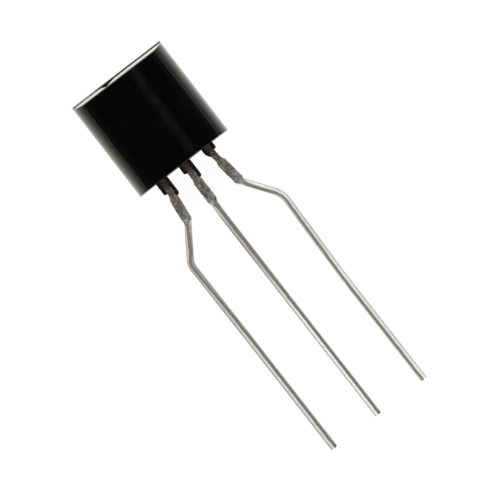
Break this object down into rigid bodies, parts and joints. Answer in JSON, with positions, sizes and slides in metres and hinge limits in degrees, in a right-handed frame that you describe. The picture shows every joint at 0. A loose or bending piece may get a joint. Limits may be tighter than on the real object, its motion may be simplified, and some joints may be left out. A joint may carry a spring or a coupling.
{
  "type": "to-92 transistor",
  "caption": "Small through-hole transistor: glossy black moulded case with a flat front and a round back, on long tinned leads whose outer pair is formed outwards to a wider spacing.",
  "frame": {"origin": "the centre of the flat front face, half-way up the case", "axes": "+Z out of the flat front, +Y towards the top of the case, away from the leads, which run towards -Y, and +X to the right as seen from the flat front with the leads pointing down"},
  "size_m": [0.0055, 0.0192, 0.0039],
  "materials": {
    "mould_compound": "gloss",
    "tinned_lead": "satin",
    "silver_epoxy": "matte",
    "silicon": "gloss",
    "gold_wire": "gloss"
  },
  "bodies": {
    "root": {"case": "mould_compound", "left_lead": "tinned_lead", "middle_lead": "tinned_lead", "right_lead": "tinned_lead", "die_attach": "silver_epoxy", "die": "silicon", "base_wire": "gold_wire", "emitter_wire": "gold_wire"}
  },
  "joints": []
}
